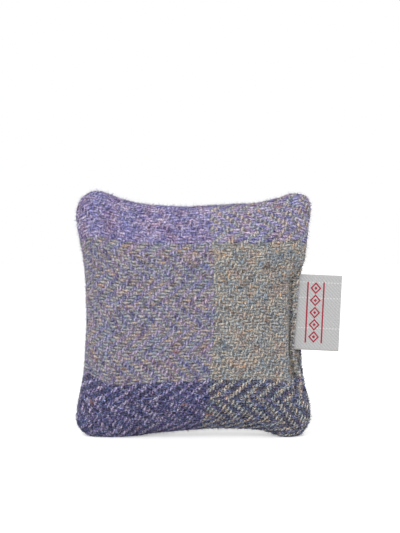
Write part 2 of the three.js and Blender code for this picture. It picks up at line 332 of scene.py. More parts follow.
def sewn_places(cut_x, cut_z):
    """The cover's points before it swells, which of them stitches hold, and the closing's share."""
    edge = closed_curve(SEWN_EDGE)
    reach = edge - (0, EDGE_MIDDLE)
    tips = [int(np.argmax(reach @ way)) for way in ((1, -1), (1, 1), (-1, 1), (-1, -1))]
    sides = []
    for first, last in zip(tips, tips[1:] + tips[:1]):
        steps = (last - first) % len(edge) + 1
        sides.append(edge[(first + np.arange(steps)) % len(edge)])
    right, top, left, bottom = sides
    width = right[:, 0].mean() - left[:, 0].mean()
    height = top[:, 1].mean() - bottom[:, 1].mean()
    row_rise = CROWN * dome(2 * arch(ROWS, CROWN / height) - 1)
    column_rise = CROWN * dome(2 * arch(COLUMNS, CROWN / width) - 1)
    s = np.array([arch(COLUMNS, rise / width) for rise in row_rise])
    t = np.array([arch(ROWS, rise / height) for rise in column_rise]).T
    for row in (0, -1):
        s[row] = run_share(np.c_[cut_x[row], cut_z[row]])
    for column in (0, -1):
        t[:, column] = run_share(np.c_[cut_x[:, column], cut_z[:, column]])
    low, high = at_share(bottom, s), at_share(top[::-1], s)
    near, far = at_share(left[::-1], t), at_share(right, t)
    s, t = s[..., None], t[..., None]
    corners = (1 - s) * ((1 - t) * bottom[0] + t * top[-1]) + s * ((1 - t) * bottom[-1] + t * top[0])
    plan = (1 - t) * low + t * high + (1 - s) * near + s * far - corners

    # The closing draws the columns in: the stuffed face ends at the stitches and the last few make the hem
    closing = closing_share(plan[:, -1, 1])[:, None]
    start, end = plan[:, :1, 0], plan[:, -1:, 0]
    face = np.array([arch(GROOVE, rise / width) for rise in row_rise])
    shut_x = np.hstack([start + face * (end - HEM_INSETS[0] - start), end - np.array(HEM_INSETS[1:])])
    plan[..., 0] += closing * (shut_x - plan[..., 0])
    shut_depth = np.r_[HEM_DEPTHS[0] * (np.arange(GROOVE + 1) / GROOVE) ** 4, HEM_DEPTHS[1:]]
    groove = edge.copy()
    groove[:, 0] -= HEM_INSETS[0] * closing_share(edge[:, 1]) * (edge[:, 0] > 0)
    depth = dome_depth(plan, groove) + closing * shut_depth
    held = np.zeros(depth.shape, bool)
    held[[0, -1], :] = True
    held[:, [0, -1]] = True
    depth[held] = 0
    held[:, GROOVE:] |= closing > 0.5
    return np.dstack([plan[..., 0], -depth, plan[..., 1]]), held, closing


SIM_SCALE = 0.01  # Blender's cloth behaves best at about a metre, so a millimetre is a centimetre there
SIM_FRAMES = 14
PRESSURE = 1.6
FOOT_SOFT = 0.8  # how gently the pressed corners meet the floor


def standing(points):
    """The same points where the part stands, with the lower corners pressed flat on the floor."""
    out = points + (MIDDLE_X, 0, 0)
    height = points[..., 2]
    out[..., 2] = (height + np.sqrt(height**2 + FOOT_SOFT**2)) / 2
    return out


def stuffed_cover():
    """Two squares of tweed, stitched together along the edge and the closing, filled by cloth simulation.

    Gives each face's points by row and column, their places in the cut and the closing's share."""
    cut_x, cut_z = cut_places()
    start, held, closing = sewn_places(cut_x, cut_z)
    faces, inner, back_of = joined_squares(ROWS, COLUMNS)
    half = start.reshape(-1, 3) * SIM_SCALE
    cover = mesh_piece("cover", np.vstack([half, half[inner] * (1, -1, 1)]), faces)
    stitched = cover.vertex_groups.new(name="stitched")
    stitched.add(np.flatnonzero(np.r_[held.ravel(), held.ravel()[inner]]).tolist(), 1.0, "REPLACE")
    cloth = cover.modifiers.new("Cloth", "CLOTH")
    wool = cloth.settings
    wool.quality = 5
    wool.mass = 0.0005
    wool.air_damping = 4
    wool.tension_stiffness = 30
    wool.compression_stiffness = 10
    wool.shear_stiffness = 2
    wool.bending_stiffness = 3
    wool.use_pressure = True
    wool.uniform_pressure_force = PRESSURE
    wool.effector_weights.gravity = 0
    wool.vertex_group_mass = stitched.name
    wool.pin_stiffness = 5
    cloth.collision_settings.use_collision = False
    cloth.point_cache.frame_end = SIM_FRAMES
    for step in range(1, SIM_FRAMES + 1):
        bpy.context.scene.frame_set(step)
    select_only(cover)
    bpy.ops.object.modifier_apply(modifier=cloth.name)
    points = points_of(cover) / SIM_SCALE
    bpy.data.objects.remove(cover)
    bpy.context.scene.frame_set(1)
    shape = held.shape + (3,)
    front = points[: held.size].reshape(shape)
    back = points[back_of].reshape(shape)
    for face in (front, back):
        from_groove = face[:, GROOVE, None, 0] - face[:, :GROOVE, 0]
        pushed = from_groove * WALL_STEEPNESS * np.exp(-((from_groove / WALL_REACH) ** 2))
        pushed += WALL_OVERHANG * np.exp(-(((from_groove - WALL_REACH) / OVERHANG_WIDTH) ** 2))
        face[:, :GROOVE, 0] += closing * pushed
    turned_in = np.interp(front[:, -1, 2], *np.transpose(FRONT_SHORT))[:, None]
    front[:, GROOVE:, 0] -= closing * turned_in * np.linspace(0, 1, HEM_COLUMNS + 1)
    return standing(front), standing(back), cut_x, cut_z, closing


# Tweed panels: one mesh cell to a crossing of yarns, then relief on the subdivided mesh

EDGE_ROLL = 0.8  # half the width of the rolled edge on each side of the seam
LIP_INSET = 1.4  # depth of the valley between the two rolled edges
LIP_GAP = 0.12
LABEL_GAP = 0.65  # the valley is wider where it lets the label out
LABEL_RAMP = 4.0
LABEL_MIDDLE = (LABEL_LOW.z + LABEL_HIGH.z) / 2 / MM
LABEL_HEIGHT = (LABEL_HIGH.z - LABEL_LOW.z) / MM
RELIEF = 0.6  # from the bottom of a gap between yarns to the top of a float
RELIEF_LEVEL = 0.6  # the share of it that lies below the stuffed surface
COLUMN_GIRTH = 0.62  # shares of the space between two yarns that a yarn fills
ROW_GIRTH = 0.74
YARN_BEND = 0.6  # how far a yarn rises and dips, in yarn radii
YARN_LEAN = 0.2  # how far an upright yarn leans over one float, in yarn widths
WANDER = 0.09  # how far the yarns wander, in yarn widths
WANDER_WAVES = 24
WANDER_RATE = 0.9
INNER_STEP = 4  # yarns to a cell of the cover's inside, which never shows
INNER_SHARE = 0.955  # of the cover's width and height
INNER_LEAST = 0.8  # its least depth from the seam plane
COVER_WALL = 1.5

# The square of the bake: the inside at the bottom, a strip for the faces that bridge to it, and the face
BAKE_MARGIN = 0.01
BAKE_WIDTH = 0.98
INNER_BAKE_HEIGHT = 0.1
BRIDGE_BAKE = 0.116
BRIDGE_BAKE_HEIGHT = 0.008
BRIDGE_CORNERS = ((0.1, 0), (0.9, 0), (0.9, 1), (0.1, 1))  # of one face in its cell of the strip
FACE_BAKE = 0.13
FACE_BAKE_HEIGHT = 0.86
LIP_YARNS = 2  # room round the face for its turned-in edge


def yarn_height(u, v):
    """Height of the upper yarn, from 0 to 1, at places counted in yarns. Each yarn is a round thread that
    rises and dips over two crossings at a time, and the upright ones lean a little as they rise."""
    column = np.floor(u)
    row = np.floor(v)
    turn = 1 - 2 * np.mod(np.floor((row - TWILL_START) / TWILL_ROWS), 2)
    column_phase = math.pi / 2 * (v + turn * column + (turn + 1) / 2)
    row_phase = math.pi / 2 * (u + turn * (row - 1))
    across_column = 2 * (u - column - 0.5 - YARN_LEAN * np.sin(column_phase)) / COLUMN_GIRTH
    across_row = 2 * (v - row - 0.5) / ROW_GIRTH
    column_height = YARN_BEND * np.cos(column_phase) + np.sqrt(np.maximum(1 - across_column**2, 0))
    row_height = YARN_BEND * np.cos(row_phase) + np.sqrt(np.maximum(1 - across_row**2, 0))
    return np.maximum(column_height, row_height) / (1 + YARN_BEND)


def wandering(places):
    """The same places with each yarn wandering a little, as hand-woven ones do."""
    shift = np.zeros_like(places)
    for _ in range(WANDER_WAVES):
        wave = RANDOM.normal(size=2) * WANDER_RATE
        phase = RANDOM.uniform(0, 2 * math.pi)
        way = RANDOM.normal(size=2)
        shift += np.sin(places @ wave + phase)[:, None] * way
    return places + shift * WANDER / math.sqrt(WANDER_WAVES)


def off_grain(places):
    """Places in the cut, counted along yarns that don't quite follow its edges."""
    u, v = places.T
    columns_off = np.polyval(np.polyfit(*np.transpose(COLUMNS_OFF), 4), v)
    rows_off = np.polyval(np.polyfit(*np.transpose(ROWS_OFF), 4), u)
    return np.c_[u + columns_off, v + rows_off]


def border_loop():
    """Grid numbers round the border, anticlockwise from the front, starting low on the left."""
    number = np.arange((ROWS + 1) * (COLUMNS + 1)).reshape(ROWS + 1, COLUMNS + 1)
    return np.r_[number[0, :-1], number[:-1, -1], number[-1, :0:-1], number[:0:-1, 0]]


def outward_of(loop_points):
    """Unit outward directions in the seam plane along a closed anticlockwise loop."""
    run = np.roll(loop_points, -1, axis=0) - np.roll(loop_points, 1, axis=0)
    return unit(np.c_[run[:, 2], np.zeros(len(run)), -run[:, 0]])


def tweed_panel(name, grid, side, shift):
    """One square of the cover. side is -1 for the front and 1 for the back."""
    loop = border_loop()
    points = grid.reshape(-1, 3).copy()
    yarns = np.c_[(cut_x / CUT_WIDTH + 0.5).ravel() * COLUMNS, (cut_z / CUT_HEIGHT + 0.5).ravel() * ROWS]
    outward = outward_of(points[loop])
    past_label = np.abs(points[loop, 2] - LABEL_MIDDLE) - LABEL_HEIGHT / 2
    opened = np.clip(1 - past_label / LABEL_RAMP, 0, 1) * (points[loop, 0] > MIDDLE_X)
    points[loop, 1] = side * (EDGE_ROLL + (LABEL_GAP - LIP_GAP) * opened)
    lip = points[loop] - outward * LIP_INSET
    lip[:, 1] = side * (LIP_GAP + (LABEL_GAP - LIP_GAP) * opened)
    lip_yarns = yarns[loop] + outward[:, [0, 2]]
    start = len(points)
    turn = np.arange(len(loop))
    following = np.roll(turn, -1)
    lip_faces = np.c_[loop[following], loop, start + turn, start + following]
    faces = np.vstack([grid_squares(ROWS, COLUMNS), lip_faces])[:, :: -side]
    places = np.vstack([yarns, lip_yarns])
    bake = (places + LIP_YARNS) / (COLUMNS + 2 * LIP_YARNS, ROWS + 2 * LIP_YARNS)
    bake = bake * (BAKE_WIDTH, FACE_BAKE_HEIGHT) + (BAKE_MARGIN, FACE_BAKE)
    panel = mesh_piece(name, np.vstack([points, lip]) * MM, faces, {"Weave": places + shift, "OFBake": bake})
    apply_modifier(panel, "SUBSURF", levels=SUBDIVISIONS, render_levels=SUBDIVISIONS, uv_smooth="NONE")
    weave = wandering(off_grain(places_of(panel, "Weave") - shift) + shift)
    set_places(panel, "Weave", weave)
    rise = (yarn_height(weave[:, 0], weave[:, 1]) - RELIEF_LEVEL) * RELIEF * MM
    raised = points_of(panel) + normals_of(panel) * rise[:, None]
    raised[:, 2] = np.maximum(raised[:, 2], 0)
    set_points(panel, raised)
    close_inside(panel, grid, side)
    return panel


def inner_grid(grid, flat_share, depth_share, wall, least):
    """A coarser copy of a cover's grid that lies inside it."""
    inside = grid[::INNER_STEP, ::INNER_STEP].copy()
    centre = np.array([MIDDLE_X, EDGE_MIDDLE])
    inside[..., [0, 2]] = centre + (inside[..., [0, 2]] - centre) * flat_share
    depth = np.maximum(np.abs(inside[..., 1]) * depth_share - wall, least)
    inside[..., 1] = depth * np.sign(grid[ROWS // 2, COLUMNS // 2, 1])
    return inside


def close_inside(panel, grid, side):
    """Gives a panel its inner wall, so that it is a closed piece of cloth. The wall never shows."""
    inside = inner_grid(grid, INNER_SHARE, 1, COVER_WALL, INNER_LEAST)
    rows, columns = inside.shape[0] - 1, inside.shape[1] - 1
    across, up = np.meshgrid(np.linspace(0, 1, columns + 1), np.linspace(0, 1, rows + 1))
    bake = np.c_[across.ravel() * BAKE_WIDTH, up.ravel() * INNER_BAKE_HEIGHT] + BAKE_MARGIN
    weave = np.c_[across.ravel() * COLUMNS, up.ravel() * ROWS]
    faces = grid_squares(rows, columns)[:, ::side]
    wall = mesh_piece("wall", inside.reshape(-1, 3) * MM, faces, {"Weave": weave, "OFBake": bake})
    select_only(panel)
    wall.select_set(True)
    bpy.ops.object.join()
    before = len(panel.data.polygons)
    bpy.ops.object.mode_set(mode="EDIT")
    bpy.ops.mesh.select_mode(type="EDGE")
    bpy.ops.mesh.select_all(action="DESELECT")
    bpy.ops.mesh.select_non_manifold()
    bpy.ops.mesh.bridge_edge_loops()
    bpy.ops.object.mode_set(mode="OBJECT")

    # Each face of the bridge gets its own small place in the bake
    bridge = panel.data.polygons[before:]
    layer = panel.data.uv_layers["OFBake"].data
    cell = BAKE_WIDTH / len(bridge)
    for number, face in enumerate(bridge):
        for corner, (right, up) in zip(face.loop_indices, BRIDGE_CORNERS):
            layer[corner].uv = (BAKE_MARGIN + (number + right) * cell, BRIDGE_BAKE + BRIDGE_BAKE_HEIGHT * up)


front_points, back_points, cut_x, cut_z, closing = stuffed_cover()
tweed_front = tweed_panel("tweed_front", front_points, -1, (0, 0))
tweed_back = tweed_panel("tweed_back", back_points, 1, BACK_SHIFT)


# Loose fibres that stand off the wool

FIBRES = 13500  # on each side
FIBRE_SIDES = 3
FIBRE_STEPS = 2
FIBRE_RADIUS = 0.035  # thicker than real wool, so that it shows
FIBRE_GIRTHS = (0.6, 2.6)  # from a single fibre to a tuft
FIBRE_LENGTHS = (0.7, 2.0)
TUFT_SHORTENING = 0.6  # the power of its girth by which a tuft is shorter
FIBRE_WANDER = 0.9
FIBRE_RISE = 0.25  # the least that a fibre rises off the cloth, as a share of its length
FIBRE_CURL = 0.5
FIBRE_TAPER = 0.7
FIBRE_BAKE = 0.2  # room round each fibre in its cell of the bake, as a share of the cell
RIM_DEPTH = 3.0  # this near the seam plane the fibres stand closer, as a halo round the outline
RIM_DENSITY = 3.0
LABEL_CLEARANCE = 1.0


def wool_fibres(name, panel):
    """Short curled fibres with their roots in a panel's yarns, each coloured by the yarn under it."""
    points = points_of(panel) / MM
    on_face = places_of(panel, "OFBake")[:, 1] > FACE_BAKE
    outer = np.flatnonzero(on_face & (np.abs(points[:, 1]) > EDGE_ROLL / 2))
    x, y, z = points[outer].T
    rim = np.abs(y) < RIM_DEPTH
    beside_label = np.abs(z - LABEL_MIDDLE) < LABEL_HEIGHT / 2 + LABEL_CLEARANCE
    density = np.where(rim, RIM_DENSITY, 1) * ~(rim & (x > MIDDLE_X) & beside_label)
    roots = RANDOM.choice(outer, FIBRES, replace=False, p=density / density.sum())
    wander = RANDOM.normal(size=(FIBRES, 3))
    curl = RANDOM.normal(size=(FIBRES, 3))
    girth = RANDOM.uniform(*FIBRE_GIRTHS, FIBRES)[:, None]
    length = RANDOM.uniform(*FIBRE_LENGTHS, FIBRES)[:, None] / girth**TUFT_SHORTENING
    up = normals_of(panel)[roots]
    lean = unit(up + FIBRE_WANDER * wander)
    lean += up * np.maximum(FIBRE_RISE - (lean * up).sum(1), 0)[:, None]
    across, spokes = spokes_about(lean, curl, FIBRE_SIDES)
    rings = []
    for share in np.linspace(0, 1, FIBRE_STEPS + 1):
        centre = points[roots] + length * (share * lean + FIBRE_CURL * share**2 * across)
        radius = FIBRE_RADIUS * girth * (1 - FIBRE_TAPER * share)
        rings.append(centre + radius * spokes)
    fibres = np.stack(rings).transpose(2, 0, 1, 3)
    fibres[..., 2] = np.maximum(fibres[..., 2], 0)

    # A fibre has the colour of the yarn at its root, and a cell of its own in the bake
    each = (FIBRE_STEPS + 1) * FIBRE_SIDES
    weave = np.repeat(places_of(panel, "Weave")[roots], each, axis=0)
    cells = math.ceil(math.sqrt(FIBRES))
    cell = np.c_[np.arange(FIBRES) % cells, np.arange(FIBRES) // cells]
    step, turn = np.divmod(np.arange(each), FIBRE_SIDES)
    within = FIBRE_BAKE + (1 - 2 * FIBRE_BAKE) * np.c_[turn / (FIBRE_SIDES - 1), step / FIBRE_STEPS]
    bake = (cell[:, None] + within).reshape(-1, 2) / cells
    return tubes(name, fibres, {"Weave": weave, "OFBake": bake})


fuzz_front = wool_fibres("wool_fuzz_front", tweed_front)
fuzz_back = wool_fibres("wool_fuzz_back", tweed_back)

# Folded label: one strip of tape whose two ends are caught in the closing

TAPE = 0.35
TAPE_RUN = 44  # mesh cells along one leaf
TAPE_FOLD = 10  # mesh cells round the fold
TAPE_CELLS = 46  # mesh cells from the lower to the upper selvedge
LABEL_LEAN = 2.6  # degrees, clockwise from the front
LABEL_BOW = 0.35
BOW_TURN = 2.4  # radians of its wave over the label's height, and at the middle
BOW_START = 0.6


def folded_label():
    """The label and the whole length of its tape."""
    low, high = LABEL_LOW / MM, LABEL_HIGH / MM
    tuck = LABEL_END_LOW.x / MM
    radius = (high.y - low.y) / 2 - TAPE / 2
    fold_x = high.x - radius - TAPE / 2
    run = np.linspace(tuck, fold_x, TAPE_RUN + 1)
    bend = np.linspace(-math.pi / 2, math.pi / 2, TAPE_FOLD + 1)[1:-1]
    path_x = np.r_[run, fold_x + radius * np.cos(bend), run[::-1]]
    path_y = np.r_[np.full(len(run), -radius), radius * np.sin(bend), np.full(len(run), radius)]
    length = run_along(np.c_[path_x, path_y])
    up = np.linspace(low.z, high.z, TAPE_CELLS + 1)
    x, z = np.meshgrid(path_x, up)
    y = np.broadcast_to(path_y, x.shape)
    pivot_x, pivot_z = low.x, (low.z + high.z) / 2
    free = np.clip((x - pivot_x) / (fold_x - pivot_x), 0, 1)
    bow = LABEL_BOW * free**2 * np.sin(BOW_TURN * (z - pivot_z) / (high.z - low.z) + BOW_START)
    lean = math.radians(LABEL_LEAN) * np.clip((x - tuck) / (pivot_x - tuck), 0, 1)
    turned_x = pivot_x + (x - pivot_x) * np.cos(lean) + (z - pivot_z) * np.sin(lean)
    turned_z = pivot_z + (z - pivot_z) * np.cos(lean) - (x - pivot_x) * np.sin(lean)
    points = np.c_[turned_x.ravel(), (y + bow).ravel(), turned_z.ravel()]
    along, height = np.meshgrid(length, up - low.z)
    tape = np.c_[along.ravel(), height.ravel()]
    faces = grid_squares(TAPE_CELLS, len(path_x) - 1)
    label = mesh_piece("folded_label", points * MM, faces, {"Tape": tape})
    apply_modifier(label, "SOLIDIFY", thickness=TAPE * MM, offset=0)
    return label, length[-1]


label, tape_length = folded_label()

# Closing stitches: lock stitches of two-ply thread in the groove beside the hem

STITCH_LENGTH = 3.2
STITCH_GAP = 0.55
STITCH_START = 0.3  # from the lower end of the closing
STITCH_RADIUS = 0.26
STITCH_STEPS = 10
STITCH_SIDES = 8
STITCH_LIFT = 0.12  # how far the thread lies over the groove
STITCH_BULGE = 0.3  # how much further in the middle of a stitch
BULGE_POWER = 0.6
STITCH_DIP = 0.9  # how much less at its ends, which go into the cloth
DIP_POWER = 8
PLY_RELIEF = 0.13  # share of the radius
PLY_TWIST = 9.0  # radians over one stitch


def closing_stitches(name, grid, side):
    """One thread's stitches over a face of the cover. side is -1 for the front and 1 for the back."""
    line = grid[closing[:, 0] > 0.5, GROOVE]
    run = run_along(line)
    share = np.linspace(0, 1, STITCH_STEPS + 1)
    start = np.arange(STITCH_START, run[-1] - STITCH_LENGTH, STITCH_LENGTH)[:, None]
    at = start + STITCH_GAP / 2 + share * (STITCH_LENGTH - STITCH_GAP)
    centre = np.stack([np.interp(at, run, line[:, axis]) for axis in range(3)], axis=-1)
    bulge = STITCH_BULGE * np.sin(math.pi * share) ** BULGE_POWER
    centre[..., 1] += side * (STITCH_LIFT + bulge - STITCH_DIP * np.abs(2 * share - 1) ** DIP_POWER)
    turns = np.arange(STITCH_SIDES) * 2 * math.pi / STITCH_SIDES
    around = STITCH_RADIUS * (1 + PLY_RELIEF * np.cos(2 * turns + PLY_TWIST * share[:, None]))
    ring = np.stack([around * np.cos(turns), around * np.sin(turns), 0 * around], axis=-1)
    return tubes(name, centre[:, :, None] + ring)


needle_stitches = closing_stitches("needle_stitches", front_points, -1)
bobbin_stitches = closing_stitches("bobbin_stitches", back_points, 1)

# Muslin pouch and the lavender buds in it

POUCH_SHARE = 0.88
POUCH_DEPTH = 0.84
POUCH_LOW = 3.0  # its lowest point
BUDS = 900
BUD_ROWS = (0.06, 0.94)  # shares of the cover's rows and columns that have buds behind them
BUD_COLUMNS = (0.06, 0.92)
BUD_SPREAD = 0.8  # share of the cover's size that the heap of buds fills
BUD_MARGIN = 2.8
BUD_HALVES = (1.9, 2.7)  # half the length
BUD_GIRTHS = (0.8, 1.15)
BUD_SIDES = 6
BUD_RINGS = ((-1.0, 0.35), (-0.45, 0.95), (0.25, 0.85), (1.0, 0.4))  # place along and share of the girth
BUD_GROOVE = 0.85  # radius between two ribs, as a share of theirs


def muslin_pouch():
    """Two pieces of muslin that are joined along their border."""
    front, back = (inner_grid(grid, POUCH_SHARE, POUCH_DEPTH, 0, 0) for grid in (front_points, back_points))
    faces, inner, _ = joined_squares(front.shape[0] - 1, front.shape[1] - 1)
    points = np.vstack([front.reshape(-1, 3), back.reshape(-1, 3)[inner]])
    points[:, 2] = np.maximum(points[:, 2], POUCH_LOW)
    pouch = mesh_piece("muslin_pouch", points * MM, faces, {"Muslin": points[:, [0, 2]]})
    apply_modifier(pouch, "SUBSURF", levels=SUBDIVISIONS, render_levels=SUBDIVISIONS)
    return pouch


def lavender_buds():
    """Dried calyxes, each a ribbed cup that is about 5 mm long."""
    rows = RANDOM.uniform(*BUD_ROWS, BUDS) * ROWS
    columns = RANDOM.uniform(*BUD_COLUMNS, BUDS) * COLUMNS
    corner = front_points[rows.astype(int), columns.astype(int)]
    centre = np.array([MIDDLE_X, 0, EDGE_MIDDLE])
    place = centre + (corner - centre) * BUD_SPREAD
    room = np.maximum(np.abs(corner[:, 1]) * BUD_SPREAD - BUD_MARGIN, 0)
    place[:, 1] = RANDOM.uniform(-1, 1, BUDS) * room
    axis = unit(RANDOM.normal(size=(BUDS, 3)))
    _, spokes = spokes_about(axis, RANDOM.normal(size=(BUDS, 3)), BUD_SIDES)
    half = RANDOM.uniform(*BUD_HALVES, BUDS)[:, None]
    girth = RANDOM.uniform(*BUD_GIRTHS, BUDS)[:, None]
    ribs = np.where(np.arange(BUD_SIDES) % 2, BUD_GROOVE, 1.0)[:, None, None]
    rings = [place + along * half * axis + share * girth * ribs * spokes for along, share in BUD_RINGS]
    return tubes("lavender_buds", np.stack(rings).transpose(2, 0, 1, 3))


pouch = muslin_pouch()
buds = lavender_buds()


# Materials


def linear(hex_colour):
    """An sRGB hex value as linear RGBA."""
    parts = [int(hex_colour[i : i + 2], 16) / 255 for i in (1, 3, 5)]
    return (*(((p + 0.055) / 1.055) ** 2.4 if p > 0.04045 else p / 12.92 for p in parts), 1)


def set_inputs(node, inputs):
    """Sets a node's inputs, by name or in order, each to a value or to a link from another node's socket."""
    for socket, value in inputs.items() if isinstance(inputs, dict) else enumerate(inputs):
        if isinstance(value, bpy.types.NodeSocket):
            node.id_data.links.new(value, node.inputs[socket])
        else:
            node.inputs[socket].default_value = value


def add_node(tree, kind, inputs=(), **settings):
    """One node with its settings and inputs. A kind in capitals is an operation of the Math node. A second
    word is a vector's operation, or the data that a Mix node takes. Gives the first output in use."""
    if kind.isupper():
        kind = "Math " + kind
    kind, _, work = kind.partition(" ")
    made = tree.nodes.new("ShaderNode" + kind)
    if work:
        setattr(made, "data_type" if kind == "Mix" else "operation", work)
    for name, value in settings.items():
        if name == "stops":
            ramp = made.color_ramp.elements
            while len(ramp) < len(value):
                ramp.new(0.5)
            for element, (place, colour) in zip(ramp, value):
                element.position = place
                element.color = linear(colour)
        else:
            setattr(made, name, value)
    set_inputs(made, inputs)
    return next(output for output in made.outputs if output.enabled)


def new_material(name):
    """A material, its Principled node and the function that adds nodes to its tree."""
    material = bpy.data.materials.new(name)
    material.use_nodes = True
    tree = material.node_tree
    return material, tree.nodes["Principled BSDF"], functools.partial(add_node, tree)


def places_in(add, label):
    """The places of a UV map, and how far across and up each one is."""
    place = add("UVMap", uv_map=label)
    across = add("SeparateXYZ", [place])
    return place, across, across.node.outputs["Y"]


def ripple(add, place, step):
    """A wave from -1 to 1 along a place, with its crests a step apart."""
    turned = add("MULTIPLY", [place, 2 * math.pi / step])
    return add("SINE", [turned])


def colour_and_bump(shader, add, shade, stops, roughness, strength, depth):
    """Lets one pattern give a matt surface its colour and its bumps."""
    colour = add("ValToRGB", [shade], stops=stops)
    bump = add("Bump", {"Strength": strength, "Distance": depth * MM, "Height": shade})
    set_inputs(shader, {"Base Color": colour, "Normal": bump, "Roughness": roughness})


def dress(piece, material):
    """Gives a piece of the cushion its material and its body."""
    piece.data.materials.append(material)
    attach(piece, "cushion")


# Each run of colours is one yarn's blend of dyed wools
LAVENDER_YARN = [
    (0.0, "#3d3873"), (0.15, "#5f598a"), (0.35, "#7a76a1"), (0.55, "#9a8cb0"),
    (0.75, "#a8a3bd"), (0.9, "#b29cbb"), (1.0, "#bcb6ca"),
]
HEATHER_YARN = [
    (0.0, "#5f564f"), (0.12, "#80766d"), (0.35, "#87959f"), (0.55, "#a1a19e"),
    (0.72, "#b09f89"), (0.88, "#b8b5ae"), (1.0, "#b59675"),
]
INDIGO_YARN = [
    (0.0, "#090a28"), (0.16, "#11153f"), (0.32, "#283c66"), (0.46, "#30194e"),
    (0.6, "#182452"), (0.76, "#586e98"), (0.88, "#4b3770"), (1.0, "#979fc3"),
]
LAVENDER_TONES = (0.945, 1.17)  # of the columns and of the rows
HEATHER_TONES = (1.1, 0.95)
INDIGO_TONE = 0.9
DYE_TINTS = [(0.36, "#e2eeff"), (0.5, "#fafafa"), (0.64, "#ffede8")]
DYE_SHARES = (0.5, 1.0)  # of the tint, over indigo rows and over the others
DYE_RATE = 0.2  # changes of tint to a yarn's width
YARN_SEEDS = (0.37, 0.71)  # keep the columns' random numbers apart from the rows'
RUN_APART = 97.0  # keep each yarn's changes and bundles apart from the next one's
BUNDLES_APART = 53.0
HEATHER_RUN = 0.2  # changes of blend to a yarn's width, along the yarn
HEATHER_DRIFT = (-0.12, 0.44)
NOISE_RANGE = (0.3, 0.7)  # where most of a soft noise lies
YARN_SPREAD = 0.12  # how far one yarn's blend differs from the next
BUNDLE_SPREAD = 0.7  # and one bundle of fibres from the next
BUNDLES = 1.6  # to a yarn's width
BUNDLE_TWIST = 2.4
BUNDLE_STRETCH = 0.5
MATTING = 1.1  # how far one yarn's fibres mat over the next, in yarn radii
FELT_RATE = 1.7  # places where they do, to a yarn's width
FELT_RANGE = (0.25, 0.75)
SHOW_THROUGH = (0.12, 0.84)  # share of the column's colour where the row is on top, and where the column is
FLECK_SHARE = 0.014
FLECK_RATE = 0.55
FLECK_STRETCH = 0.5  # they lie along the rows
FLECK_SIZES = (0.2, 0.4)  # where a fleck starts to fade and where it ends, in spaces between flecks
FLECK_COVER = 0.5
FLECK_COLOUR = "#96653f"
MAT_RATE = 2.6  # matted fibres to a yarn's width: they are drawn about 0.6 mm wide, so that they show
MAT_RANGE = (0.4, 0.57)
MAT_SHADES = (-0.8, 0.58)  # how much darker and lighter than the yarn
MAT_CONTRASTS = (1.5, 0.88)  # over indigo rows and over the others
MAT_RELIEF = 0.8  # of the matted fibres, against the yarn's own height
# Painted shade and light by the weave's height: the heights between which it changes, then its levels
PAINTED_GAP_RANGE = (0.35, 0.85)
PAINTED_GAP_SHADES = (0.5, 1.13)  # painted shade at the bottom of a gap between yarns, and painted light at the top of a float
LOOSE_SHADES = (0.8, 1.25)
HAIR_ANGLES = (20, 75, -40)  # degrees from the rows
HAIR_STRETCH = (0.6, 4.6, 1.0)
HAIR_RANGE = (0.56, 0.68)
HAIR_COVER = 0.5
# painted highlight on stray hairs, added to the yarn's colour
PAINTED_HAIR_HIGHLIGHT = (0.1, 0.095, 0.11)


def woven_yarns(add):
    """The column and the row at each place of the weave: the yarn's number, how far along it the place is,
    where across it and how high the yarn stands there, in yarn radii."""
    _, u, v = places_in(add, "Weave")
    column = add("FLOOR", [u])
    row = add("FLOOR", [v])
    past_start = add("SUBTRACT", [row, TWILL_START])
    band = add("FLOOR", [add("DIVIDE", [past_start, TWILL_ROWS])])
    leaning = add("FLOORED_MODULO", [band, 2.0])
    turn = add("MULTIPLY_ADD", [leaning, -2.0, 1.0])
    half_turn = add("MULTIPLY_ADD", [turn, 0.5, 0.5])
    column_step = add("MULTIPLY_ADD", [turn, column, half_turn])
    column_place = add("ADD", [v, column_step])
    row_before = add("SUBTRACT", [row, 1.0])
    row_place = add("MULTIPLY_ADD", [turn, row_before, u])
    yarns = []
    for number, along, across, place, lean, girth in (
        (column, v, u, column_place, YARN_LEAN, COLUMN_GIRTH),
        (row, u, v, row_place, 0.0, ROW_GIRTH),
    ):
        within = add("FRACT", [across])
        phase = add("MULTIPLY", [place, math.pi / 2])
        swing = add("SINE", [phase])
        sway = add("MULTIPLY_ADD", [swing, -2 * lean / girth, -1 / girth])
        sideways = add("MULTIPLY_ADD", [within, 2 / girth, sway])
        square = add("MULTIPLY", [sideways, sideways])
        left = add("SUBTRACT", [1.0, square], use_clamp=True)
        round_top = add("SQRT", [left])
        bend = add("COSINE", [phase])
        height = add("MULTIPLY_ADD", [bend, YARN_BEND, round_top])
        yarns.append((number, along, within, height))
    return yarns


def heather_blend(add, number, along, within, offset):
    """Where in its blend of dyed wools a yarn is. It changes from yarn to yarn, along the yarn, and from one
    bundle of fibres to the next as they wind round it. The offset keeps columns and rows apart."""
    seed_place = add("ADD", [number, offset])
    seed = add("TexWhiteNoise", {"W": seed_place}, noise_dimensions="1D")
    apart = add("MULTIPLY_ADD", [seed, RUN_APART, along])
    slow = {"W": apart, "Scale": HEATHER_RUN, "Detail": 2.0, "Roughness": 0.6}
    slow_blend = add("TexNoise", slow, noise_dimensions="1D")
    drift = add("MapRange", [slow_blend, *NOISE_RANGE, *HEATHER_DRIFT])
    own = add("MapRange", [seed, 0, 1, -YARN_SPREAD, YARN_SPREAD])
    drifted = add("ADD", [drift, own])
    stretched = add("MULTIPLY", [along, BUNDLE_STRETCH])
    wound = add("MULTIPLY_ADD", [within, BUNDLE_TWIST, stretched])
    depth = add("MULTIPLY", [seed, BUNDLES_APART])
    bundle_place = add("CombineXYZ", [wound, stretched, depth])
    bundles = add("TexVoronoi", {"Vector": bundle_place, "Scale": BUNDLES})
    bundle = add("SeparateXYZ", [bundles.node.outputs["Color"]])
    return add("MULTIPLY_ADD", [bundle, BUNDLE_SPREAD, drifted], use_clamp=True)


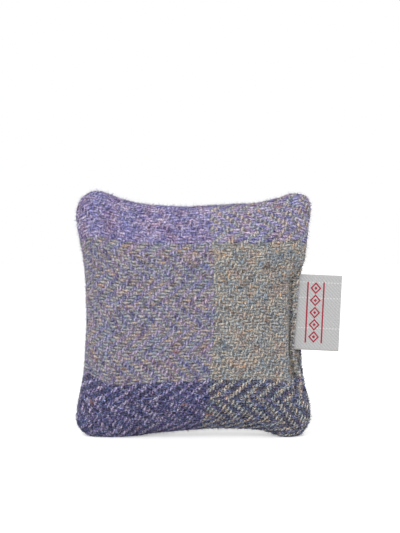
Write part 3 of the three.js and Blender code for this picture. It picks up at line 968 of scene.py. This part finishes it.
def check_colours(add, column, row, column_blend, row_blend):
    """The colour of the column and of the row at each place of the check, and 1 past the indigo rows."""
    tones = []
    for blend, stops, tone in (
        (column_blend, LAVENDER_YARN, LAVENDER_TONES[0]),
        (column_blend, HEATHER_YARN, HEATHER_TONES[0]),
        (row_blend, INDIGO_YARN, INDIGO_TONE),
        (row_blend, HEATHER_YARN, HEATHER_TONES[1]),
        (row_blend, LAVENDER_YARN, LAVENDER_TONES[1]),
    ):
        colour = add("ValToRGB", [blend], stops=stops)
        tones.append(add("VectorMath SCALE", {0: colour, "Scale": tone}))
    left, right, low, middle, high = tones
    past_change = add("GREATER_THAN", [column, COLUMN_CHANGE - 0.5])
    past_indigo = add("GREATER_THAN", [row, INDIGO_ROWS - 0.5])
    past_heather = add("GREATER_THAN", [row, PURPLE_ROW - 0.5])
    column_colour = add("Mix RGBA", {0: past_change, 6: left, 7: right})
    lower = add("Mix RGBA", {0: past_indigo, 6: low, 7: middle})
    row_colour = add("Mix RGBA", {0: past_heather, 6: lower, 7: high})
    return column_colour, row_colour, past_indigo


def wool_material(name, loose):
    """Woollen tweed: heather yarns in a herringbone twill, milled until their fibres mat together.

    The eye sees short matt floats, each a blend of dyed fibres, with painted shade in the gaps between them,
    painted light on their tops and a pale bloom on top, which is sheen and painted highlight on stray hairs.
    Loose fibres have the yarns' colours, paler where they catch the light."""
    material, shader, add = new_material(name)
    weave = add("UVMap", uv_map="Weave")
    (column, *column_run, column_height), (row, *row_run, row_height) = woven_yarns(add)
    column_blend = heather_blend(add, column, *column_run, YARN_SEEDS[0])
    row_blend = heather_blend(add, row, *row_run, YARN_SEEDS[1])
    column_colour, row_colour, past_indigo = check_colours(add, column, row, column_blend, row_blend)

    # The higher yarn is seen, with some of the other's fibres matted over it
    felt = {"Vector": weave, "Scale": FELT_RATE, "Detail": 2.0, "Roughness": 0.6, "Distortion": 0.8}
    felted = add("MapRange", [add("TexNoise", felt), *FELT_RANGE, -MATTING, MATTING])
    felted_row = add("ADD", [row_height, felted])
    on_top = add("GREATER_THAN", [column_height, felted_row])
    upper = add("MAXIMUM", [column_height, row_height])
    height = add("DIVIDE", [upper, 1 + YARN_BEND])
    seen = add("MapRange", [on_top, 0, 1, *SHOW_THROUGH])
    colour = add("Mix RGBA", {0: seen, 6: row_colour, 7: column_colour})

    # A few flecks of orange wool carded into the blend
    lying = add("Mapping", {"Vector": weave, "Scale": (FLECK_STRETCH, 1, 1)})
    flecks = add("TexVoronoi", {"Vector": lying, "Scale": FLECK_RATE})
    chance = add("SeparateXYZ", [flecks.node.outputs["Color"]])
    rare = add("GREATER_THAN", [chance, 1 - FLECK_SHARE])
    small = add("MapRange", [flecks, *FLECK_SIZES, FLECK_COVER, 0])
    fleck = add("MULTIPLY", [rare, small])
    colour = add("Mix RGBA", {0: fleck, 6: colour, 7: linear(FLECK_COLOUR)})

    # The dye varies over a few centimetres, from bluer to warmer
    dye = add("TexNoise", {"Vector": weave, "Scale": DYE_RATE, "Detail": 3.0, "Roughness": 0.7})
    tint = add("ValToRGB", [dye], stops=DYE_TINTS)
    dyed = add("MapRange", [past_indigo, 0, 1, *DYE_SHARES])
    tinted = add("Mix RGBA", {0: dyed, 6: colour, 7: tint}, blend_type="MULTIPLY")

    # Matted fibres on top, longer hairs that cross the yarns with a painted highlight, and painted shade in
    # the gaps between yarns
    mat = {"Vector": weave, "Scale": MAT_RATE, "Detail": 1.0, "Roughness": 0.6, "Distortion": 0.6}
    matted = add("TexNoise", mat)
    hairs = 0.0
    for angle in HAIR_ANGLES:
        lie = {"Vector": weave, "Rotation": (0, 0, math.radians(angle)), "Scale": HAIR_STRETCH}
        streaks = {"Vector": add("Mapping", lie), "Scale": 1.0, "Detail": 2.0, "Distortion": 0.6}
        hair = add("MapRange", [add("TexNoise", streaks), *HAIR_RANGE, 0, HAIR_COVER])
        hairs = add("MAXIMUM", [hairs, hair])
    if loose:
        light = add("MapRange", [matted, *NOISE_RANGE, *LOOSE_SHADES])
    else:
        mat_shade = add("MapRange", [matted, *MAT_RANGE, *MAT_SHADES])
        contrast = add("MapRange", [past_indigo, 0, 1, *MAT_CONTRASTS])
        mat_light = add("MULTIPLY_ADD", [mat_shade, contrast, 1.0])
        # Painted shade and light: the colour darkens down into the gaps between yarns and lightens on top of
        # the floats
        painted_gap_shade = add("MapRange", [height, *PAINTED_GAP_RANGE, *PAINTED_GAP_SHADES])
        light = add("MULTIPLY", [mat_light, painted_gap_shade])
        rough = add("MULTIPLY_ADD", [matted, MAT_RELIEF, height])
        bump = add("Bump", {"Strength": 0.6, "Distance": 0.3 * MM, "Height": rough})
        set_inputs(shader, {"Normal": bump})
    shaded = add("VectorMath SCALE", {0: tinted, "Scale": light})
    # Painted highlight: the colour is lifted paler where stray hairs lie, as where they catch the light
    pale = add("VectorMath ADD", [tinted, PAINTED_HAIR_HIGHLIGHT])
    hair_highlighted = add("Mix RGBA", {0: hairs, 6: shaded, 7: pale})
    set_inputs(shader, {"Base Color": hair_highlighted, "Roughness": 0.92, "Specular IOR Level": 0.2})
    set_inputs(shader, {"Sheen Weight": 0.3, "Sheen Roughness": 0.5, "Sheen Tint": linear("#dcd8e6")})
    return material


tweed = wool_material("woollen tweed", loose=False)
loose_wool = wool_material("loose wool fibres", loose=True)
for panel, fuzz, node, slot in (
    (tweed_front, fuzz_front, "front_panel", "tweed_front"),
    (tweed_back, fuzz_back, "back_panel", "tweed_back"),
):
    dress(panel, tweed)
    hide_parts(node)
    dress(fuzz, loose_wool)


TAPE_SHADES = [(0.25, "#a0a0a1"), (0.5, "#b0b0b1"), (0.75, "#c1c1c2")]
CRIMSON_SHADES = [(0.25, "#7a0d22"), (0.5, "#96142b"), (0.75, "#ad2840")]
TAPE_RATE = 2.2  # changes of shade to a millimetre
RIB_STEP = 1.6  # between slanting ribs, coarser than in real satin, so that they show
RIB_SHADE = 0.12
BINDING_ROWS = (10.0, 23.6, 30.6)  # height of each row of dots above the lower selvedge
DOT_STEP = 1.4
DOT_HALF = 0.22  # half a dot's height
DOT_COLOUR = "#d0cfcd"
SELVEDGE = 0.7
SELVEDGE_COLOUR = "#b3b2b1"
CHAIN_PLACE = 11.5  # from the tucked end to the middle of the ornament
CHAIN_LINES = 3.6  # from there to each line
LINE_HALF = 0.36  # half a line's width
CHAIN_LENGTH = 27.5
LOZENGE = 5.5
LOZENGE_NARROWING = 1.1
RING_INSET = 0.5  # from a lozenge's tips to the middle of its ring
RING_HALF = 0.48
LOZENGE_HEART = 0.85


def tape_material():
    """Woven satin tape: the eye sees smooth pale threads with a soft sheen, faint slanting ribs, a few rows
    of paler binding dots and a plain woven-in ornament in crimson."""
    material, shader, add = new_material("woven satin tape")
    place, u, v = places_in(add, "Tape")
    rib = ripple(add, add("ADD", [u, v]), RIB_STEP)
    threads = add("TexNoise", {"Vector": place, "Scale": TAPE_RATE, "Detail": 3.0})
    shade = add("MULTIPLY_ADD", [rib, RIB_SHADE, threads])
    pale = add("ValToRGB", [shade], stops=TAPE_SHADES)

    # Rows of binding dots, and denser weave along both selvedges
    beat = add("GREATER_THAN", [ripple(add, u, DOT_STEP), 0])
    dots = 0.0
    for height in BINDING_ROWS:
        near = add("COMPARE", [v, height, DOT_HALF])
        dots = add("ADD", [dots, near])
    lit = add("MULTIPLY", [dots, beat])
    dotted = add("Mix RGBA", {0: lit, 6: pale, 7: linear(DOT_COLOUR)})
    up = add("SUBTRACT", [v, LABEL_HEIGHT / 2])
    from_middle = add("ABSOLUTE", [up])
    selvedge = add("GREATER_THAN", [from_middle, LABEL_HEIGHT / 2 - SELVEDGE])
    edged = add("Mix RGBA", {0: selvedge, 6: dotted, 7: linear(SELVEDGE_COLOUR)})

    # The ornament: a chain of lozenges between two narrow lines, on the front leaf
    from_chain = add("ABSOLUTE", [add("SUBTRACT", [u, CHAIN_PLACE])])
    line = add("COMPARE", [from_chain, CHAIN_LINES, LINE_HALF])
    wrapped = add("WRAP", [up, LOZENGE / 2, -LOZENGE / 2])
    in_step = add("ABSOLUTE", [wrapped])
    spread = add("MULTIPLY_ADD", [from_chain, LOZENGE_NARROWING, in_step])
    ring = add("COMPARE", [spread, LOZENGE / 2 - RING_INSET, RING_HALF])
    heart = add("LESS_THAN", [spread, LOZENGE_HEART])
    chain = add("MAXIMUM", [ring, heart])
    ornament = add("MAXIMUM", [chain, line])
    short = add("LESS_THAN", [from_middle, CHAIN_LENGTH / 2])
    crimson = add("MULTIPLY", [ornament, short])
    dyed = add("ValToRGB", [shade], stops=CRIMSON_SHADES)
    colour = add("Mix RGBA", {0: crimson, 6: edged, 7: dyed})
    bump = add("Bump", {"Strength": 0.35, "Distance": 0.12 * MM, "Height": shade})
    set_inputs(shader, {"Base Color": colour, "Normal": bump, "Roughness": 0.55})
    set_inputs(shader, {"Specular IOR Level": 0.4, "Sheen Weight": 0.15})
    return material


label.data.materials.append(tape_material())
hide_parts("label_flap", "label_front_end", "label_back_end")
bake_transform(label)


THREAD_RATE = 2600.0  # to the metre: a ply's fibres change about every 0.4 mm
BUD_RATE = 420.0  # to the metre: patches of about 2.4 mm
BUD_SHADES = [(0.3, "#4d4a63"), (0.45, "#6f6a90"), (0.55, "#86809f"), (0.7, "#8f8d86")]
MUSLIN_STEP = 0.7  # between two yarns, coarser than in real muslin, so that they show
SLUB_RATE = 0.9  # to the millimetre
MUSLIN_RELIEF = 0.2
MUSLIN_SHADES = [(0.2, "#bdb29c"), (0.5, "#ddd3c0"), (0.8, "#efe8da")]


def thread_material(name, dark, light):
    """Spun sewing thread: the eye sees short fibres in two close shades, with a dull lustre."""
    material, shader, add = new_material(name)
    place = add("TexCoord").node.outputs["Object"]
    grain = add("TexNoise", {"Vector": place, "Scale": THREAD_RATE, "Detail": 4.0})
    stops = [(0.35, dark), (0.65, light)]
    colour_and_bump(shader, add, grain, stops, roughness=0.7, strength=0.4, depth=0.05)
    return material


def muslin_material():
    """Unbleached muslin: a plain open weave of thin uneven cotton yarns, creamy and matt."""
    material, shader, add = new_material("unbleached muslin")
    place, u, v = places_in(add, "Muslin")
    weave = add("MULTIPLY", [ripple(add, u, MUSLIN_STEP), ripple(add, v, MUSLIN_STEP)])
    slubs = add("TexNoise", {"Vector": place, "Scale": SLUB_RATE, "Detail": 4.0})
    shade = add("MULTIPLY_ADD", [weave, MUSLIN_RELIEF, slubs])
    colour_and_bump(shader, add, shade, MUSLIN_SHADES, roughness=0.9, strength=0.5, depth=0.1)
    return material


def bud_material():
    """Dried lavender: the eye sees papery cups in dull blue-violet, with grey patches."""
    material, shader, add = new_material("dried lavender")
    place = add("TexCoord").node.outputs["Object"]
    patches = add("TexNoise", {"Vector": place, "Scale": BUD_RATE, "Detail": 5.0})
    colour_and_bump(shader, add, patches, BUD_SHADES, roughness=0.85, strength=0.5, depth=0.1)
    return material


navy_thread = thread_material("spun polyester thread", "#1d1b2b", "#3a3750")
cotton_thread = thread_material("unbleached cotton thread", "#d8d0bf", "#f0ebdf")
for stitches, node in (
    (needle_stitches, "closing_needle_thread"),
    (bobbin_stitches, "closing_bobbin_thread"),
):
    dress(stitches, navy_thread)
    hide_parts(node)
for node, finish in (
    ("seam_needle_thread", navy_thread),
    ("seam_bobbin_thread", navy_thread),
    ("pouch_seam_thread", cotton_thread),
):
    bpy.data.objects[node].data.materials.clear()
    bpy.data.objects[node].data.materials.append(finish)

dress(pouch, muslin_material())
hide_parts("pouch_front", "pouch_back")
dress(buds, bud_material())
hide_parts("lavender_fill")


# Stage: a white floor, soft lights and the camera

IMAGE_MIDDLE = (-3.9, 0.0, 76.7)  # the point of the seam plane in the middle of the picture
IMAGE_HEIGHT = 239.9  # how much of the seam plane the picture shows, from top to bottom
LENS = 100.0
SENSOR = 36.0
CAMERA_RISE = 3.0  # degrees above level
FLOOR_WIDTH = 3.0  # metres
FLOOR_GLOW = 0.45  # brings the lit floor up to white for the camera and leaves the shadow
SKY_LIGHT = 0.68  # of the white all round, as the part gets it
WHITE = (1, 1, 1, 1)
LAMPS = (  # name, place in metres, size in metres and watts
    ("key", (-0.55, -1.1, 1.05), 0.9, 10.5),
    ("fill", (0.8, -1.2, 0.5), 0.9, 4.0),
)


def straight_rays(add):
    """1 for the camera, and for what it sees in a gloss or through something clear."""
    camera_ray = add("LightPath")
    rays = camera_ray.node.outputs
    mirrored = add("ADD", [camera_ray, rays["Is Glossy Ray"]])
    return add("ADD", [mirrored, rays["Is Transmission Ray"]], use_clamp=True)


bpy.ops.mesh.primitive_plane_add(size=FLOOR_WIDTH)
floor = bpy.context.object
floor.name = "floor"
paper, shader, add = new_material("white paper")
glow = add("MULTIPLY", [straight_rays(add), FLOOR_GLOW])
set_inputs(shader, {"Base Color": linear("#f2f2f1"), "Roughness": 0.9})
set_inputs(shader, {"Emission Color": WHITE, "Emission Strength": glow})
floor.data.materials.append(paper)

world = bpy.data.worlds.new("studio")
bpy.context.scene.world = world
world.use_nodes = True
add = functools.partial(add_node, world.node_tree)
strength = add("Mix", {0: straight_rays(add), 2: SKY_LIGHT, 3: 1.0})
set_inputs(world.node_tree.nodes["Background"], {"Color": WHITE, "Strength": strength})

middle = Vector(IMAGE_MIDDLE) * MM
for name, place, size, power in LAMPS:
    bpy.ops.object.light_add(type="AREA", location=place)
    lamp = bpy.context.object
    lamp.name = name
    lamp.data.size = size
    lamp.data.energy = power
    lamp.rotation_euler = (middle - Vector(place)).to_track_quat("-Z", "Y").to_euler()

bpy.ops.object.camera_add()
camera = bpy.context.object
camera.data.lens = LENS
camera.data.sensor_width = SENSOR
distance = IMAGE_HEIGHT * MM * LENS / SENSOR
rise = math.radians(CAMERA_RISE)
camera.location = middle + Vector((0, -math.cos(rise), math.sin(rise))) * distance
camera.rotation_euler = (math.pi / 2 - rise, 0, 0)
bpy.context.scene.camera = camera
bpy.context.scene.view_settings.view_transform = "Standard"
